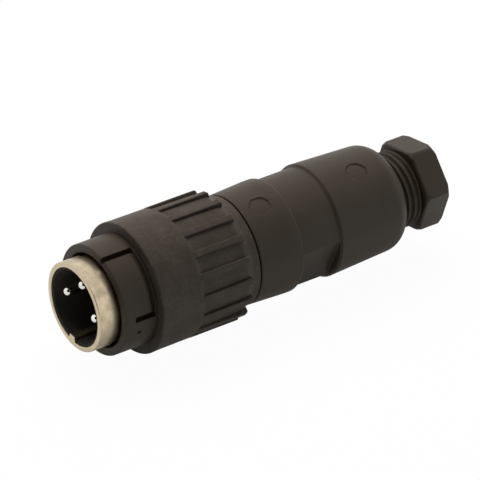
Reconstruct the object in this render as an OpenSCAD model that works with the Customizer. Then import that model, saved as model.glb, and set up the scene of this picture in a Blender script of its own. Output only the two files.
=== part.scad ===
// Circular cable plug with three contacts, a bayonet coupling and a screwed cable gland.
// The plug lies along X: the contact shell's rim is at the origin, the cable leaves at +X, the key is down.
// Millimetres. Angles about the axis are counted from +Z towards -Y.

/* [Contacts] */
// Outside diameter of the contact shell
shell_d = 13.2; // [12.8:0.1:13.4]
// Wall of the contact shell at its mating end
shell_wall = 0.75; // [0.65:0.05:0.85]
// How much smaller the seated part of the shell is on its radius
shell_step = 0.2; // [0.18:0.02:0.3]
// Length of the contact shell
shell_len = 16; // [15.5:0.25:17]
// Width of the polarising key inside the shell
key_w = 1.2; // [1:0.1:2]
// Reach of the key from the shell's wall
key_reach = 0.8; // [0.6:0.05:1.1]
// Diameter of a contact pin
pin_d = 1.45; // [1.2:0.05:1.6]
// Distance of the pins' axes inside the shell's wall
pin_inset = 2.35; // [2.2:0.05:2.5]
// Distance of the pin tips behind the shell's rim
pin_setback = 0.65; // [0.5:0.05:2]
// How much thicker the seated part of a pin is on its radius
pin_step = 0.2; // [0.18:0.01:0.25]
// Diameter of a solder cup
cup_d = 2.2; // [2:0.1:2.4]
// Wall of a solder cup
cup_wall = 0.3; // [0.25:0.05:0.4]
// Length of a solder cup behind the insert
cup_len = 3; // [2:0.5:4]
// Depth of the insert's face behind the shell's rim
insert_depth = 9.6; // [9:0.2:10.6]
// Wall of the liner that the insert has inside the shell
liner_wall = 0.35; // [0.3:0.05:0.45]
// Distance of the liner's edge behind the shell's rim
liner_setback = 0.2; // [0.15:0.05:1]
// Thickness of the insert's rear flange
insert_flange_t = 2.5; // [2:0.1:3]
// Thickness of the split ring that keeps the insert in
retainer_t = 1; // [0.8:0.1:1.4]

/* [Bayonet ring] */
// Distance of the ring's front behind the shell's rim
ring_setback = 3.2; // [3:0.1:3.6]
// Radial gap between the shell and the ring
ring_gap = 0.35; // [0.3:0.05:0.45]
// Wall of the ring
ring_wall = 1.25; // [1.2:0.05:1.4]
// Length of the ring's full diameter
ring_face_len = 4.7; // [4.6:0.05:5]
// How much smaller the seated part of the ring is on its radius
ring_step = 0.2; // [0.15:0.05:0.25]
// Length of the ring inside the grip sleeve
ring_seat_len = 3.2; // [3:0.1:3.4]
// Number of bayonet tracks
track_count = 2; // [1:1:3]
// Width of a track's entry and catch
track_w = 0.85; // [0.6:0.05:1.1]
// Depth of a track
track_depth = 0.8; // [0.5:0.05:0.9]
// Width of the track's run around the ring
track_run_w = 0.5; // [0.4:0.05:0.7]
// Width of the rim behind the run
track_rim = 0.16; // [0.1:0.02:0.3]
// Turn from the entry to the catch
track_turn = 70.2; // [50:0.1:85]
// Distance of the catch's closed end behind the ring's front
catch_setback = 1.42; // [1:0.05:2]
// Diameter of the index dimple beside the catch
dimple_d = 0.6; // [0.4:0.05:0.8]

/* [Grip sleeve] */
// Width of the groove between the ring's full diameter and the sleeve
groove_w = 0.65; // [0.5:0.05:0.9]
// Length of the sleeve
sleeve_len = 17.45; // [17:0.05:18.2]
// How much the smooth front narrows on its radius
sleeve_draft = 0.1; // [0.05:0.01:0.15]
// Length of the smooth front
smooth_len = 6.7; // [6:0.1:7]
// Number of ribs
rib_count = 18; // [12:1:20]
// Distance of the ribs' ends from the neck
rib_gap = 0.75; // [0.5:0.05:1]
// Width of a rib
rib_w = 1; // [0.8:0.02:1.2]
// Rise of a rib above the ground at its rear
rib_rise = 0.5; // [0.4:0.02:0.6]
// Rise of a rib above the ground near its front
rib_rise_front = 0.34; // [0.2:0.02:0.38]
// How far the ribs stand out beyond the smooth front
rib_proud = 0.05; // [0.03:0.01:0.1]
// Length of the neck behind the ribs
neck_len = 1.3; // [1:0.1:1.6]
// Wall of the neck
neck_wall = 1.05; // [0.9:0.05:1.15]
// Wall of the sleeve around the spring
sleeve_wall = 0.9; // [0.8:0.05:1]
// Length of the sleeve's bearing on the front body
bearing_len = 4.6; // [4:0.1:5]

/* [Front body and spring] */
// Ledge inside the front body that stops the shell, on its radius
body_ledge = 0.3; // [0.2:0.05:0.4]
// Wall of the front body's tube
body_wall = 0.95; // [0.85:0.05:1.05]
// Length of the nose in front of the spring flange
nose_len = 1.8; // [1.5:0.1:2]
// Thickness of the spring flange
spring_flange_t = 1.2; // [1:0.1:1.5]
// Wire diameter of the coupling spring
wire_d = 0.65; // [0.5:0.05:0.7]
// Turns of the coupling spring
spring_turns = 4; // [3:0.5:4.5]
// Thickness of the washer behind the spring
washer_t = 0.5; // [0.4:0.05:0.7]

/* [Back shell] */
// Gap that shows between the grip sleeve and the back shell
joint_gap = 0.2; // [0.15:0.05:0.3]
// Length of the front collar
collar_len = 7.3; // [7:0.1:7.8]
// How much the collar widens to its rear, on its radius
collar_flare = 0.27; // [0.15:0.01:0.35]
// How much the waist lies under the collar's front, on its radius
waist_drop = 0.18; // [0.1:0.01:0.25]
// Length of the waist
waist_len = 6.55; // [6.2:0.05:7]
// Depth of the wrench flats under the waist
flats_depth = 1.02; // [0.8:0.02:1.1]
// Run-out radius at the rear of the flats
flats_runout = 1.8; // [1.7:0.1:2.2]
// Rise of the rear housing above the waist
housing_rise = 0.42; // [0.3:0.02:0.55]
// Length of the slope from the waist up to the rear housing
housing_slope = 0.55; // [0.3:0.05:0.8]
// How much the rear housing narrows to its rear, on its radius
housing_taper = 0.58; // [0.4:0.02:0.7]
// Length of the rear housing
housing_len = 13.05; // [12.6:0.05:14]
// Radius of the rear edge
rear_edge = 2.9; // [2.2:0.1:3]
// Diameter of the round mould marks
mark_d = 3.1; // [2.6:0.1:3.4]
// Depth of the mould marks
mark_depth = 0.18; // [0.1:0.02:0.2]
// Place of the front mould mark on the collar
mark_front_at = 3.2; // [2.5:0.1:4]
// Place of the rear mould mark on the rear housing
mark_rear_at = 6.15; // [5:0.1:7]
// Distance from the bottom of the collar's thread to its rear
collar_stop = 0.9; // [0.6:0.05:1.2]
// Thickness of the gasket behind the front body
gasket_t = 0.7; // [0.5:0.1:0.9]
// Wall of the spacer sleeve
spacer_wall = 0.8; // [0.6:0.05:1]

/* [Gland] */
// Step from the wire chamber to the gland's bore, on its radius
gland_step = 0.3; // [0.2:0.05:0.4]
// Pitch of the gland thread
thread_pitch = 1; // [0.75:0.25:1.5]
// Depth of the gland thread
thread_depth = 0.45; // [0.3:0.05:0.55]
// Length of thread that shows at rest
thread_show = 3.1; // [2.6:0.1:3.6]
// Length of thread that is engaged at rest
thread_engage = 6.4; // [6:0.1:6.8]
// How far the hexagon's flats stand out from the thread
hex_ledge = 0.25; // [0.2:0.05:0.5]
// Height of the hexagon
hex_h = 4.1; // [3.5:0.1:4.6]
// Depth of the bevel on the hexagon's front corners
front_bevel = 0.35; // [0.2:0.05:0.6]
// Length of that bevel
front_bevel_len = 0.7; // [0.4:0.1:1.2]
// Depth of the bevel on the hexagon's rear corners
rear_bevel = 0.5; // [0.3:0.05:0.75]
// Length of that bevel
rear_bevel_len = 0.45; // [0.3:0.05:0.8]
// Wall of the nut around the pinch ring
nut_wall = 0.6; // [0.5:0.05:0.7]
// Thickness of the washer in front of the seal
seal_washer_t = 0.8; // [0.6:0.1:1]
// Thickness of the pinch ring's flange
pinch_flange_t = 1; // [0.8:0.1:1.2]
// Length of the pinch ring's fingers
finger_len = 4.4; // [4:0.1:4.6]
// Wall of the pinch ring's fingers
finger_wall = 0.7; // [0.5:0.05:0.75]
// Number of fingers
finger_count = 6; // [4:1:8]
// Thickness of the slip washer in front of the nut
slip_t = 0.5; // [0.4:0.05:0.6]

/* [Angles at rest] */
// Turn of the key and the contacts away from straight down
contact_turn = 7; // [0:0.5:30]
// Bayonet entry
entry_angle = 17.3; // [0:0.1:360]
// First rib
rib_angle = 6.5; // [0:0.1:20]
// First wrench flat
flats_angle = 114.2; // [0:0.1:180]
// Mould marks
mark_angle = 21.5; // [0:0.1:360]
// A corner of the hexagon
hex_angle = 19.6; // [0:0.1:60]

/* [Fits] */
// Radial clearance of parts that turn or slide on each other
run_clear = 0.1; // [0.05:0.01:0.12]
// Radial clearance of parts that are pressed or snapped together
seat_clear = 0.02; // [0.01:0.01:0.04]
// Gap between faces that rest on each other
face_gap = 0.05; // [0.02:0.01:0.08]
// Clearance of rubber and washers in the gland's bore
loose_clear = 0.2; // [0.1:0.05:0.25]

/* [Hidden] */

// Colours
black_satin = "#2b2a29";
black_rough = "#302e2d";
black_insert = "#1a1a1a";
nickel = "#cfc6b6";
silver = "#e6e6e4";
steel = "#8f9296";
rubber = "#18181a";
white_slip = "#d9d8d2";

// Small edges and allowances
edge = 0.15;
rim_edge = 0.3;
past = 1;
round_fn = 128;

// Radii of the contacts
shell_r = shell_d / 2;
shell_in_r = shell_r - shell_wall;
shell_seat_r = shell_r - shell_step;
insert_r = shell_in_r - seat_clear;
liner_in_r = insert_r - liner_wall;
pin_r = pin_d / 2;
pin_root_r = pin_r + pin_step;
cup_r = cup_d / 2;
pin_circle_r = shell_in_r - pin_inset;
key_angle = 180 + contact_turn;
pin_angles = [for (angle = [90, 0, 270]) angle + contact_turn];

// Radii of the coupling
ring_in_r = shell_r + ring_gap;
ring_r = ring_in_r + ring_wall;
ring_seat_r = ring_r - ring_step;
bead_w = 0.8;
chamber_r = ring_r + seat_clear;
ground_r = chamber_r + sleeve_wall;
smooth_end_r = ground_r + rib_rise;
sleeve_r = smooth_end_r + sleeve_draft;
ground_fillet = 1.2;
neck_fillet = 1;
tube_in_r = shell_seat_r - body_ledge;
tube_r = tube_in_r + body_wall;
neck_r = tube_r + run_clear + neck_wall;
flange_r = chamber_r - run_clear;
nose_r = (shell_seat_r + flange_r) / 2;

// Radii of the back shell and the gland
collar_front_r = neck_r;
collar_rear_r = collar_front_r + collar_flare;
waist_r = collar_front_r - waist_drop;
flats_r = waist_r - flats_depth;
housing_r = waist_r + housing_rise;
housing_end_r = housing_r - housing_taper;
spacer_in_r = tube_in_r - run_clear - spacer_wall;
gland_bore_r = tube_in_r - gland_step;
thread_r = gland_bore_r - face_gap;
root_r = thread_r - thread_depth;
loose_r = gland_bore_r - loose_clear;
pocket_r = root_r - nut_wall;
finger_r = pocket_r - loose_clear;
finger_in_r = finger_r - finger_wall;
cable_r = finger_in_r - loose_clear;
seal_in_r = cable_r + loose_clear / 2;
hex_r = (thread_r + hex_ledge) / cos(30);

// Places along the axis
x_ring = ring_setback;
x_ring_step = x_ring + ring_face_len;
x_sleeve = x_ring_step + groove_w;
x_ring_end = x_sleeve + ring_seat_len;
x_bead = x_sleeve + ring_seat_len / 2;
x_body = x_ring_end + face_gap;
x_flange = x_body + nose_len;
x_spring = x_flange + spring_flange_t + face_gap;
x_sleeve_end = x_sleeve + sleeve_len;
x_shoulder = x_sleeve_end - bearing_len;
x_washer = x_shoulder - face_gap - washer_t;
x_spring_end = x_washer - face_gap;
x_rib = x_sleeve + smooth_len;
x_neck = x_sleeve_end - neck_len;
x_rib_end = x_neck - rib_gap;
x_key_end = insert_depth - 2 * edge;
x_cup = (insert_depth + shell_len) / 2;
x_insert_flange = shell_len + face_gap;
x_insert_end = x_insert_flange + insert_flange_t;
x_retainer = x_insert_end + face_gap;
x_spacer = x_retainer + retainer_t + face_gap;
x_back = x_sleeve_end + joint_gap;
x_collar_end = x_back + collar_len;
x_gasket_end = x_collar_end - collar_stop;
x_gasket = x_gasket_end - face_gap - gasket_t;
x_body_end = x_gasket - face_gap;
x_collar_full = x_back + 0.8 * collar_len;
x_waist_end = x_collar_end + waist_len;
x_housing_end = x_waist_end + housing_len;
x_nut = x_housing_end - thread_engage;
x_slip = x_nut - face_gap - slip_t;
x_pinch = x_slip - face_gap - pinch_flange_t;
x_seat = x_waist_end - seal_washer_t;
x_seal = x_seat + seal_washer_t + face_gap;
x_hex = x_housing_end + thread_show;
x_end = x_hex + hex_h;

// Outline with each corner [a, b, radius] replaced by an arc; an arc is limited by the sides beside it
function rounded(corners) = let (n = len(corners)) [
  for (i = [0 : n - 1])
    each arc_corner(flat(corners[(i + n - 1) % n]), flat(corners[i]), flat(corners[(i + 1) % n]), corners[i][2])
];
function flat(corner) = [corner[0], corner[1]];
function unit(v) = v / norm(v);
function turned(v, angle) = [v.x * cos(angle) - v.y * sin(angle), v.x * sin(angle) + v.y * cos(angle)];
function arc_corner(before, at, after, radius) =
  radius == 0 ? [at] :
  let (
    to_before = unit(before - at),
    to_after = unit(after - at),
    half = acos(to_before * to_after) / 2,
    reach = min(radius / tan(half), 0.48 * norm(before - at), 0.48 * norm(after - at)),
    centre = at + unit(to_before + to_after) * reach / cos(half),
    start = at + to_before * reach - centre,
    finish = at + to_after * reach - centre,
    sweep = sign(cross(start, finish)) * (180 - 2 * half),
    steps = radius < 0.5 ? 4 : 10
  )
  [for (i = [0 : steps]) centre + turned(start, sweep * i / steps)];

// Solid turned about the axis from corners [x, radius, edge radius]
module lathe(corners) {
  rotate([0, 90, 0])
    rotate_extrude($fn = round_fn)
      polygon(rounded([for (c = corners) [c[1], c[0], c[2]]]));
}

// Round bar on the axis
module bar(r, x0, x1) {
  rotate([0, 90, 0]) translate([0, 0, x0]) cylinder(r = r, h = x1 - x0, $fn = round_fn);
}

// Tapered bar on the axis
module cone(r0, r1, x0, x1) {
  rotate([0, 90, 0]) translate([0, 0, x0]) cylinder(r1 = r0, r2 = r1, h = x1 - x0, $fn = round_fn);
}

// Tube on the axis
module tube(r_out, r_in, x0, x1) {
  difference() {
    bar(r_out, x0, x1);
    bar(r_in, x0 - past, x1 + past);
  }
}

// Bar with one half-round end, lying along +X from its tip at the origin
module bullet(r, length) {
  rotate([0, 90, 0])
    rotate_extrude($fn = 48) {
      translate([0, r]) square([r, length - r]);
      intersection() {
        translate([0, r]) circle(r, $fn = 48);
        square(r);
      }
    }
}

// Turns what is made at the top of the plug to an angle about the axis
module around(angle) {
  rotate([angle, 0, 0]) children();
}

// Contacts

module contact_shell() {
  color(nickel) {
    lathe([
      [0, shell_in_r, edge],
      [0, shell_r, rim_edge],
      [x_ring - edge, shell_r, 0],
      [x_ring - edge, shell_seat_r, 0],
      [shell_len, shell_seat_r, 0],
      [shell_len, shell_in_r, 0]
    ]);
    around(key_angle)
      translate([0, -key_w / 2, shell_in_r - key_reach])
        cube([x_key_end - face_gap, key_w, key_reach + shell_wall / 2]);
  }
}

module contact_insert() {
  keyway_w = key_w + 2 * run_clear;
  color(black_insert)
    difference() {
      lathe([
        [liner_setback, 0, 0],
        [liner_setback, insert_r, 0],
        [x_insert_flange, insert_r, 0],
        [x_insert_flange, tube_in_r - seat_clear, 0],
        [x_insert_end, tube_in_r - seat_clear, 0],
        [x_insert_end, 0, 0]
      ]);
      bar(liner_in_r, liner_setback - past, insert_depth);
      around(key_angle)
        translate([liner_setback - past, -keyway_w / 2, liner_in_r - past])
          cube([x_key_end - liner_setback + past, keyway_w, liner_wall + 2 * past]);
      for (angle = pin_angles)
        around(angle) translate([0, 0, pin_circle_r]) {
          bar(pin_root_r + seat_clear, insert_depth - past, x_insert_end);
          bar(cup_r + seat_clear, x_cup, x_insert_end + past);
        }
    }
}

module contact_pin(angle) {
  x_cup_end = x_insert_end + cup_len;
  color(silver)
    around(angle) translate([0, 0, pin_circle_r])
      difference() {
        union() {
          translate([pin_setback, 0, 0]) bullet(pin_r, insert_depth - pin_setback);
          bar(pin_root_r, insert_depth - edge, x_cup + edge);
          bar(cup_r, x_cup + seat_clear, x_cup_end);
        }
        bar(cup_r - cup_wall, x_insert_end, x_cup_end + past);
        translate([x_insert_end + cup_wall, -cup_r, 0]) cube([cup_len, cup_d, cup_d]);
      }
}

module contact_pin_1() { contact_pin(pin_angles[0]); }
module contact_pin_2() { contact_pin(pin_angles[1]); }
module contact_pin_3() { contact_pin(pin_angles[2]); }

module insert_retainer() {
  split_w = 3;
  color(steel)
    difference() {
      tube(tube_in_r - seat_clear, spacer_in_r, x_retainer, x_retainer + retainer_t);
      translate([x_retainer - past, -split_w / 2, 0]) cube([retainer_t + 2 * past, split_w, tube_r]);
    }
}

// Front body and coupling

module front_body() {
  color(black_satin)
    difference() {
      lathe([
        [x_body, 0, 0],
        [x_body, nose_r, edge],
        [x_flange, nose_r, 0],
        [x_flange, flange_r, edge],
        [x_flange + spring_flange_t, flange_r, edge],
        [x_flange + spring_flange_t, tube_r, 0],
        [x_body_end, tube_r, edge],
        [x_body_end, 0, 0]
      ]);
      bar(shell_seat_r + seat_clear, x_body - past, shell_len);
      bar(tube_in_r, x_body - past, x_body_end + past);
    }
}

// Points of the coupling spring's wire, one ring of points after another
spring_sides = 8;
spring_steps = 18;
spring_r = (tube_r + chamber_r) / 2;
spring_rings = round(spring_turns * spring_steps);
function wire_point(ring, side) =
  let (
    turn = 360 * ring / spring_steps,
    around_wire = 360 * side / spring_sides,
    r = spring_r + wire_d / 2 * cos(around_wire),
    span = x_spring_end - x_spring - wire_d
  )
  [x_spring + wire_d / 2 + span * ring / spring_rings + wire_d / 2 * sin(around_wire), r * sin(turn), r * cos(turn)];

module coupling_spring() {
  last = spring_rings * spring_sides;
  color(steel)
    polyhedron(
      points = [for (ring = [0 : spring_rings], side = [0 : spring_sides - 1]) wire_point(ring, side)],
      faces = [
        [for (side = [spring_sides - 1 : -1 : 0]) side],
        for (ring = [0 : spring_rings - 1], side = [0 : spring_sides - 1])
          let (next = (side + 1) % spring_sides, a = ring * spring_sides, b = a + spring_sides)
            [a + side, a + next, b + next, b + side],
        [for (side = [0 : spring_sides - 1]) last + side]
      ]
    );
}

module coupling_washer() {
  color(steel) tube(flange_r, tube_r + run_clear, x_washer, x_washer + washer_t);
}

// One bayonet track: an entry that is open in front, a run around the ring and a catch that is closed in front
module track() {
  slot_sink = 0.08;
  run_past = 2;
  floor_r = ring_r - track_depth;
  x_run_end = x_ring_step - track_rim;
  x_run = x_run_end - track_run_w;
  x_catch = x_ring + catch_setback;
  track_slot(x_ring - past, x_run_end - track_run_w / 2, floor_r - slot_sink);
  around(-run_past)
    rotate([0, 90, 0]) rotate([0, 0, 180])
      rotate_extrude(angle = track_turn + 2 * run_past, $fn = round_fn)
        translate([floor_r, x_run]) square([track_depth + past, track_run_w]);
  around(track_turn) track_slot(x_catch, x_run_end - track_run_w / 2, floor_r - slot_sink);
}

// Straight slot along the ring
module track_slot(x0, x1, floor_r) {
  translate([x0, -track_w / 2, floor_r]) cube([x1 - x0, track_w, track_depth + past]);
}

module bayonet_ring() {
  dimple_turn = 16;
  dimple_depth = 0.25;
  color(black_satin)
    difference() {
      lathe([
        [x_ring, ring_in_r, edge],
        [x_ring, ring_r, edge],
        [x_ring_step, ring_r, 0],
        [x_ring_step, ring_seat_r, 0],
        [x_bead - bead_w / 2, ring_seat_r, 0],
        [x_bead - bead_w / 4, ring_r, 0],
        [x_bead + bead_w / 4, ring_r, 0],
        [x_bead + bead_w / 2, ring_seat_r, 0],
        [x_ring_end, ring_seat_r, edge],
        [x_ring_end, ring_in_r, edge]
      ]);
      for (i = [0 : track_count - 1])
        around(entry_angle + i * 360 / track_count) {
          track();
          around(track_turn + dimple_turn)
            translate([x_ring + catch_setback + dimple_d, 0, ring_r - dimple_depth])
              cylinder(d = dimple_d, h = past, $fn = 32);
        }
    }
}

module grip_sleeve() {
  rib_root = 0.6;
  crest_r = smooth_end_r + rib_proud;
  ground_lead = 1.2;
  color(black_rough)
    difference() {
      union() {
        lathe([
          [x_sleeve, 0, 0],
          [x_sleeve, sleeve_r, rim_edge],
          [x_sleeve + smooth_len / 4, smooth_end_r + sleeve_draft / 3, 0],
          [x_rib, smooth_end_r, ground_fillet],
          [x_rib + ground_lead, smooth_end_r - rib_rise_front, ground_fillet],
          [x_rib_end - rib_rise, ground_r, ground_fillet],
          [x_neck, neck_r, neck_fillet],
          [x_sleeve_end, neck_r, edge],
          [x_sleeve_end, 0, 0]
        ]);
        intersection() {
          for (i = [0 : rib_count - 1])
            around(rib_angle + i * 360 / rib_count)
              translate([x_rib, -rib_w / 2, ground_r - rib_root])
                cube([x_rib_end - x_rib, rib_w, rib_root + rib_rise + past]);
          lathe([
            [x_rib, 0, 0],
            [x_rib, crest_r, 0],
            [x_rib_end, crest_r, rim_edge],
            [x_rib_end, 0, 0]
          ]);
        }
      }
      bar(ring_seat_r + seat_clear, x_sleeve - past, x_ring_end + past);
      bar(chamber_r, x_bead - bead_w / 2 - face_gap, x_bead + bead_w / 2 + face_gap);
      bar(chamber_r, x_ring_end, x_shoulder);
      bar(tube_r + run_clear, x_shoulder - past, x_sleeve_end + past);
    }
}

// Back shell and what it holds

// Shallow round recess that follows the surface, whose radius is r0 at x0 and r1 at x1
module mould_mark(x, x0, r0, x1, r1) {
  difference() {
    around(mark_angle) translate([x, 0, 0]) cylinder(d = mark_d, h = r0 + past, $fn = 64);
    cone(r0 - mark_depth, r1 - mark_depth, x0, x1);
  }
}

// Pair of wrench flats, rounded out at the rear
module wrench_flats() {
  runout_part = 0.94;
  x_flats = x_collar_end - edge;
  x_runout = x_waist_end - runout_part * flats_runout;
  deep = waist_r + past;
  for (turn = [0, 180])
    around(flats_angle + turn)
      rotate([90, 0, 0])
        linear_extrude(2 * deep, center = true) {
          translate([x_flats, flats_r]) square([x_runout - x_flats, flats_runout]);
          intersection() {
            translate([x_runout, flats_r + flats_runout]) circle(flats_runout, $fn = 96);
            translate([x_runout, flats_r]) square(flats_runout);
          }
        }
}

module back_shell() {
  waist_edge = 0.3;
  collar_edge = 0.9;
  collar_blend = 1.5;
  color(black_satin)
    difference() {
      lathe([
        [x_back, 0, 0],
        [x_back, collar_front_r, edge],
        [x_collar_full, collar_rear_r, collar_blend],
        [x_collar_end - waist_edge, collar_rear_r, collar_edge],
        [x_collar_end, waist_r, 0],
        [x_waist_end - housing_slope, waist_r, rim_edge],
        [x_waist_end, housing_r, edge],
        [x_housing_end, housing_end_r, rear_edge],
        [x_housing_end, 0, 0]
      ]);
      wrench_flats();
      mould_mark(x_back + mark_front_at, x_back, collar_front_r, x_collar_full, collar_rear_r);
      mould_mark(x_waist_end + mark_rear_at, x_waist_end, housing_r, x_housing_end, housing_end_r);
      bar(tube_r + face_gap, x_back - past, x_gasket_end);
      bar(tube_in_r, x_back, x_seat);
      bar(gland_bore_r, x_seat - past, x_housing_end + past);
    }
}

module housing_gasket() {
  color(rubber) tube(tube_r - face_gap, tube_in_r + loose_clear, x_gasket, x_gasket + gasket_t);
}

module spacer_sleeve() {
  color(black_insert) tube(tube_in_r - run_clear, spacer_in_r, x_spacer, x_seat - face_gap);
}

// Cable gland

module seal_washer() {
  color(white_slip) tube(loose_r, seal_in_r + loose_clear, x_seat, x_seat + seal_washer_t);
}

module cable_seal() {
  x_seal_end = x_pinch - face_gap;
  color(rubber)
    lathe([
      [x_seal, seal_in_r, rim_edge],
      [x_seal, loose_r, rim_edge],
      [x_seal_end, loose_r, rim_edge],
      [x_seal_end, seal_in_r, rim_edge]
    ]);
}

module pinch_ring() {
  x_finger = x_pinch + pinch_flange_t;
  x_finger_end = x_finger + finger_len;
  x_tip = x_finger_end - finger_len / 4;
  slot_w = 1;
  color(white_slip)
    difference() {
      union() {
        bar(loose_r, x_pinch, x_finger);
        bar(finger_r, x_pinch, x_tip);
        cone(finger_r, finger_r - finger_wall / 2, x_tip, x_finger_end);
      }
      bar(finger_in_r, x_pinch - past, x_finger_end + past);
      for (i = [0 : finger_count - 1])
        around(i * 360 / finger_count)
          translate([x_finger + edge, -slot_w / 2, 0]) cube([finger_len + past, slot_w, finger_r + past]);
    }
}

module slip_washer() {
  color(white_slip) tube(loose_r, finger_r + face_gap, x_slip, x_slip + slip_t);
}

// Outline of the threaded shank: one ridge for each pitch, from the nut's front to the hexagon
shank_len = x_hex - x_nut;
ridge_count = floor(shank_len / thread_pitch);
function ridge(x) = [
  [x + 0.15 * thread_pitch, root_r, 0],
  [x + 0.4 * thread_pitch, thread_r, 0],
  [x + 0.6 * thread_pitch, thread_r, 0],
  [x + 0.85 * thread_pitch, root_r, 0]
];

module gland_nut() {
  x_pocket_end = x_pinch + pinch_flange_t + finger_len + loose_clear;
  x_throat = x_pocket_end + pocket_r - cable_r;
  corner_break = 0.11;
  corner_r = hex_r - corner_break;
  color(black_satin)
    difference() {
      union() {
        lathe([
          [x_nut, 0, 0],
          [x_nut, root_r, 0],
          for (i = [0 : ridge_count - 1]) each ridge(x_nut + i * thread_pitch),
          [x_hex + edge, root_r, 0],
          [x_hex + edge, 0, 0]
        ]);
        intersection() {
          around(hex_angle)
            rotate([0, 90, 0]) translate([0, 0, x_hex]) cylinder(r = hex_r, h = hex_h, $fn = 6);
          lathe([
            [x_hex, 0, 0],
            [x_hex, corner_r - front_bevel, 0],
            [x_hex + front_bevel_len, corner_r, 0],
            [x_end - rear_bevel_len, corner_r, 0],
            [x_end, corner_r - rear_bevel, 0],
            [x_end, 0, 0]
          ]);
        }
      }
      bar(pocket_r, x_nut - past, x_pocket_end);
      cone(pocket_r, cable_r, x_pocket_end, x_throat);
      bar(cable_r, x_pocket_end, x_end + past);
      cone(cable_r, cable_r + past, x_end - past, x_end + edge);
    }
}

contact_shell();
contact_insert();
contact_pin_1();
contact_pin_2();
contact_pin_3();
insert_retainer();
front_body();
coupling_spring();
coupling_washer();
bayonet_ring();
grip_sleeve();
back_shell();
housing_gasket();
spacer_sleeve();
seal_washer();
cable_seal();
pinch_ring();
slip_washer();
gland_nut();
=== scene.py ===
"""Circular cable plug with a keyed contact shell, a bayonet coupling and a screwed cable gland.

The plug lies along X, from the contact shell's rim at the origin to the cable entry. Sizes are in
millimetres and become metres where a mesh is made. Angles about the axis are counted in degrees from +Z
towards -Y.
"""
import logging
import math
from dataclasses import dataclass, field
from enum import Enum
from typing import Any, Callable, Iterable

import bmesh
import bpy
import numpy as np
from mathutils import Matrix, Vector


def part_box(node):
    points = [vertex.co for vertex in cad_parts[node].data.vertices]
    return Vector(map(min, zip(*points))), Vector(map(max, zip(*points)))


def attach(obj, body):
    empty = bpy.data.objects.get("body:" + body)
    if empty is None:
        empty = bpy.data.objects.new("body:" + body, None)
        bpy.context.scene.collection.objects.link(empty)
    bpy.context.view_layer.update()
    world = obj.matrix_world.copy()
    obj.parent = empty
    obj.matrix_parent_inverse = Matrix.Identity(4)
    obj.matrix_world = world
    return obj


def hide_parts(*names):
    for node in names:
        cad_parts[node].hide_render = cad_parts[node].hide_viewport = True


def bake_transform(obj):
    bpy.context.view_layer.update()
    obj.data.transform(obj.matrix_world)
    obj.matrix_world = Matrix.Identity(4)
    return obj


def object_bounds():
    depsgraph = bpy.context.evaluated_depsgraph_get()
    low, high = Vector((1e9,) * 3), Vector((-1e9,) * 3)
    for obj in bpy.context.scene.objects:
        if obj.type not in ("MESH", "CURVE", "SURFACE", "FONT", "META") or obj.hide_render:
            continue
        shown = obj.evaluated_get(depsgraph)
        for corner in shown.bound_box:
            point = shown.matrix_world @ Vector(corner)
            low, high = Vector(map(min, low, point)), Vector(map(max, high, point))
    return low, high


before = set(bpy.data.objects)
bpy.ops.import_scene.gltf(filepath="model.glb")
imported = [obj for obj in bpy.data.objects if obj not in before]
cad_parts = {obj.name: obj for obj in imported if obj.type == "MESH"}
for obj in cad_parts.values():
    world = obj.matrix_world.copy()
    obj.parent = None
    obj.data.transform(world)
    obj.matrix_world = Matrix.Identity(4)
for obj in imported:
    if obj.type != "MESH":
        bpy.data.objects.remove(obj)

CAD_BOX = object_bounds()
MM = 0.001
LOG = logging.getLogger("plug")
WHITE = "#ffffff"
# Points of a mesh that are closer than this become one
WELD_MM = 0.0005
# Edges that turn more than this stay sharp
SHARP_DEG = 38.0
# The most of a side that the rounding of one of its corners may take
SIDE_PART = 0.48
# Roundings from this radius on are drawn in more steps
LARGE_ROUNDING_MM = 0.6
SMALL_STEPS = 6
LARGE_STEPS = 14
# Where the two of an opposite pair of features stand, in degrees from the first
OPPOSITE = (0.0, 180.0)
# Half of the angle between two corners of a hexagon
HEX_HALF_DEG = 30.0

Corner = tuple[float, float, float]
Outline = list[tuple[float, float]]
Feature = Callable[[np.ndarray, np.ndarray, np.ndarray], np.ndarray]


class Slot(Enum):
    """The record's material slots."""

    NICKEL = "nickel"
    STEEL = "steel"
    HOUSING = "housing_plastic"
    GRIP = "grip_plastic"
    RUBBER = "rubber"


class Body(Enum):
    """The bodies that pieces ride on."""

    PLUG = "plug_body"
    COUPLING_CARRIER = "coupling_carrier"
    COUPLING = "coupling"
    GLAND_CARRIER = "gland_carrier"
    GLAND = "gland"


def linear(hex_colour: str) -> tuple[float, float, float, float]:
    """Turns an sRGB hex colour into a linear one.

    Args:
        hex_colour: Six hex digits after a hash sign.

    Returns:
        Linear red, green and blue, and an alpha of 1.
    """
    parts = [int(hex_colour[i:i + 2], 16) / 255 for i in (1, 3, 5)]
    red, green, blue = [p / 12.92 if p <= 0.04045 else ((p + 0.055) / 1.055) ** 2.4 for p in parts]
    return red, green, blue, 1.0


def per_metre(size_mm: float) -> float:
    """Texture scale at which one feature of a pattern is size_mm wide."""
    return 1 / (size_mm * MM)


def add_node(
        tree: bpy.types.NodeTree,
        kind: str,
        inputs: dict[str | int, Any] | None = None,
        **settings: Any) -> Any:
    """Adds a shader node with its settings, values and links.

    Args:
        tree: The node tree that gets the node.
        kind: The node's type name.
        inputs: Values for the node's inputs by name or number, or output sockets that are linked to them.
        **settings: Properties of the node itself.

    Returns:
        The new node.
    """
    node = tree.nodes.new(kind)
    for name, value in settings.items():
        setattr(node, name, value)
    for name, value in (inputs or {}).items():
        if isinstance(value, bpy.types.NodeSocket):
            tree.links.new(value, node.inputs[name])
        else:
            node.inputs[name].default_value = value
    return node


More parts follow.
